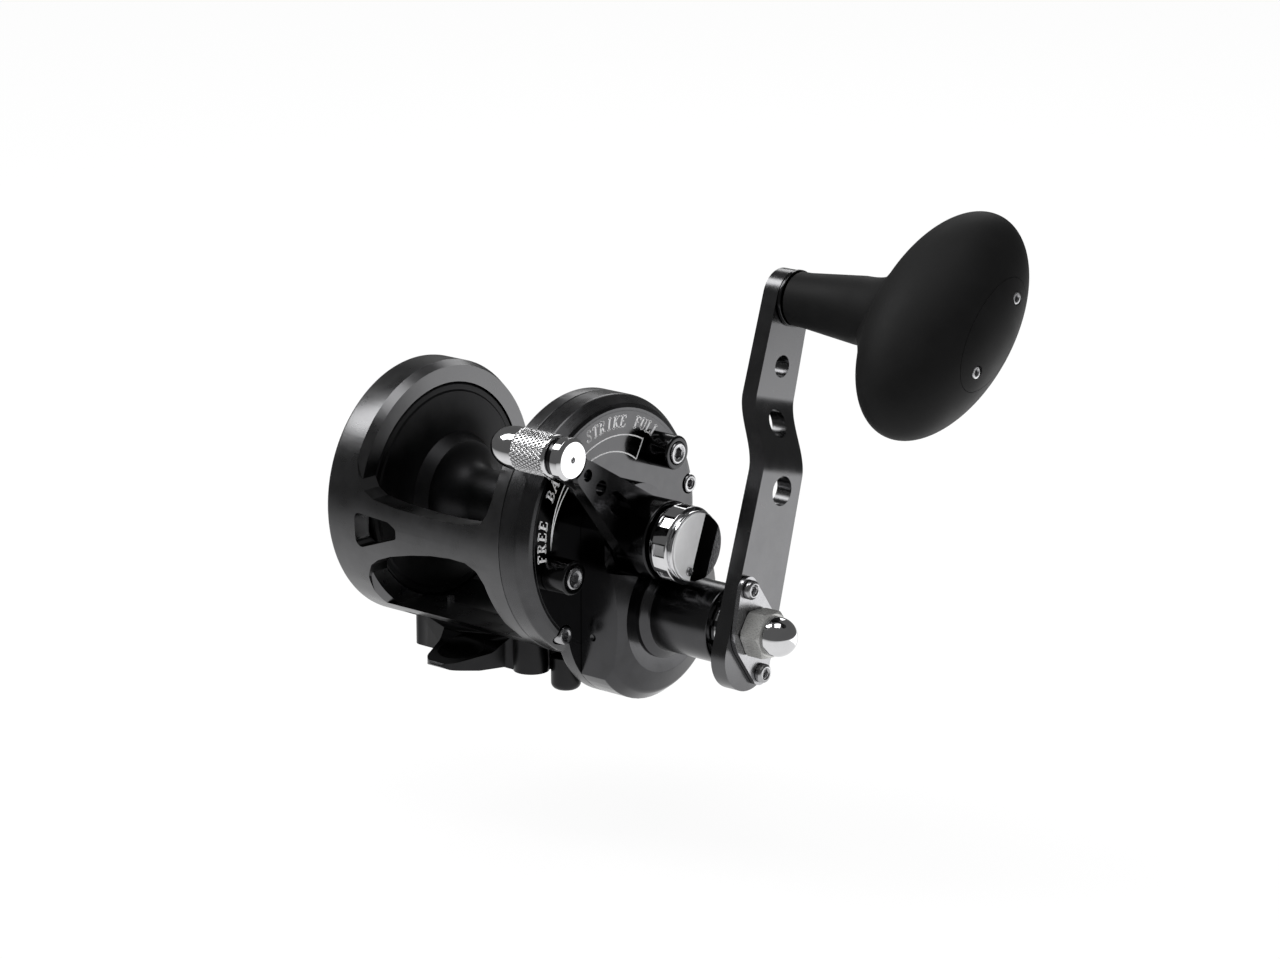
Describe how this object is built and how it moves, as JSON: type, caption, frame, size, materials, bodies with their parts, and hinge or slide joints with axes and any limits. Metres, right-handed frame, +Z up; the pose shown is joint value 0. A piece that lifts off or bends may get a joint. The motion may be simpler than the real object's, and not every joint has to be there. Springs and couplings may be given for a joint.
{
  "type": "trolling reel",
  "caption": "Conventional lever-drag fishing reel: one-piece frame, side plate with gear case, spool, drag lever, preset knob and crank handle.",
  "frame": {"origin": "middle of the flat underside of the reel foot", "axes": "+Z up from the rod through the spool axis, +Y towards the rod tip, +X towards the handle along the spool axis"},
  "size_m": [0.1781, 0.0993, 0.1373],
  "materials": {
    "frame_black": "satin black anodised",
    "gloss_black": "bright black anodised",
    "spool_black": "satin black anodised, turned",
    "chrome": "polished",
    "satin_steel": "satin stainless",
    "machined_steel": "machined stainless",
    "gear_brass": "machined",
    "soft_grip": "matt soft-touch",
    "drag_fibre": "woven fibre, matt"
  },
  "bodies": {
    "frame": {"frame": "frame_black", "side_plate": "frame_black", "gear_cover": "gloss_black", "reel_foot": "frame_black", "left_bearing_cap": "gloss_black", "clamp_stud": "gloss_black", "foot_screw_1": "satin_steel", "foot_screw_2": "satin_steel", "foot_screw_3": "satin_steel", "foot_screw_4": "satin_steel", "plate_screw_1": "satin_steel", "plate_screw_2": "satin_steel", "plate_screw_3": "satin_steel", "upper_stop": "gloss_black", "upper_stop_screw": "satin_steel", "lower_stop": "gloss_black", "lower_stop_screw": "satin_steel", "shaft_bearing_inner": "machined_steel", "shaft_bearing_outer": "machined_steel", "pinion_bearing": "machined_steel"},
    "crank": {"gear_shaft": "machined_steel", "main_gear": "gear_brass", "ratchet_wheel": "machined_steel", "shaft_collar": "chrome", "handle_arm": "frame_black", "lock_plate": "satin_steel", "lock_screw_1": "satin_steel", "lock_screw_2": "satin_steel", "handle_nut": "chrome", "knob_pin": "satin_steel", "knob_washer": "gloss_black"},
    "handle_knob": {"handle_knob": "soft_grip", "knob_cap": "soft_grip", "knob_cap_screw_1": "satin_steel", "knob_cap_screw_2": "satin_steel", "knob_bush_inner": "gear_brass", "knob_bush_outer": "gear_brass"},
    "spindle": {"spindle": "machined_steel", "spring_washers": "machined_steel"},
    "spool": {"spool": "spool_black", "spool_bearing_left": "machined_steel", "spool_bearing_right": "machined_steel", "drag_washer": "drag_fibre", "click_wheel": "gear_brass"},
    "pinion": {"pinion_gear": "machined_steel", "drive_plate": "machined_steel"},
    "drag_lever": {"drag_lever": "gloss_black", "drag_cam": "machined_steel", "lever_knob": "chrome", "lever_knob_screw": "chrome"},
    "preset_knob": {"preset_knob": "chrome", "preset_screw": "satin_steel"},
    "click_button": {"click_button": "gloss_black", "click_pawl": "machined_steel"},
    "anti_reverse_dog_1": {"anti_reverse_dog_1": "machined_steel"},
    "anti_reverse_dog_2": {"anti_reverse_dog_2": "machined_steel"}
  },
  "joints": [
    {"name": "crank_turn", "type": "hinge", "parent": "frame", "child": "crank", "pos_m": [0.075, 0.00651, 0.01915], "axis": [1, 0, 0], "continuous": true},
    {"name": "knob_spin", "type": "hinge", "parent": "crank", "child": "handle_knob", "pos_m": [0.1, 0.03293, 0.10356], "axis": [1, 0, 0], "continuous": true},
    {"name": "pinion_spin", "type": "hinge", "parent": "frame", "child": "pinion", "pos_m": [0.04, 0, 0.041], "axis": [1, 0, 0], "continuous": true},
    {"name": "spindle_slide", "type": "slide", "parent": "frame", "child": "spindle", "axis": [1, 0, 0], "range_m": [-0.0004, 0.0007]},
    {"name": "spool_spin", "type": "hinge", "parent": "spindle", "child": "spool", "pos_m": [0, 0, 0.041], "axis": [1, 0, 0], "continuous": true},
    {"name": "drag_lever_turn", "type": "hinge", "parent": "frame", "child": "drag_lever", "pos_m": [0.052, 0, 0.041], "axis": [1, 0, 0], "range_deg": [-74, 36]},
    {"name": "preset_turn", "type": "hinge", "parent": "drag_lever", "child": "preset_knob", "pos_m": [0.062, 0, 0.041], "axis": [1, 0, 0], "range_deg": [-270, 270]},
    {"name": "click_slide", "type": "slide", "parent": "frame", "child": "click_button", "axis": [0, 1, 0], "range_m": [0, 0.0044]},
    {"name": "dog_1_tilt", "type": "hinge", "parent": "frame", "child": "anti_reverse_dog_1", "pos_m": [0.036, -0.00815, 0.01381], "axis": [1, 0, 0], "range_deg": [0, 12], "stiffness_Nm_per_rad": 0.002, "springref_deg": -11.46},
    {"name": "dog_2_tilt", "type": "hinge", "parent": "frame", "child": "anti_reverse_dog_2", "pos_m": [0.036, 0.02117, 0.02449], "axis": [1, 0, 0], "range_deg": [0, 12], "stiffness_Nm_per_rad": 0.002, "springref_deg": -11.46}
  ],
  "couplings": [
    {"joint": "pinion_spin", "follows": "crank_turn", "ratio": -3.75},
    {"joint": "spool_spin", "follows": "crank_turn", "ratio": -3.75},
    {"joint": "spindle_slide", "follows": "drag_lever_turn", "m_per_rad": -0.0004}
  ]
}
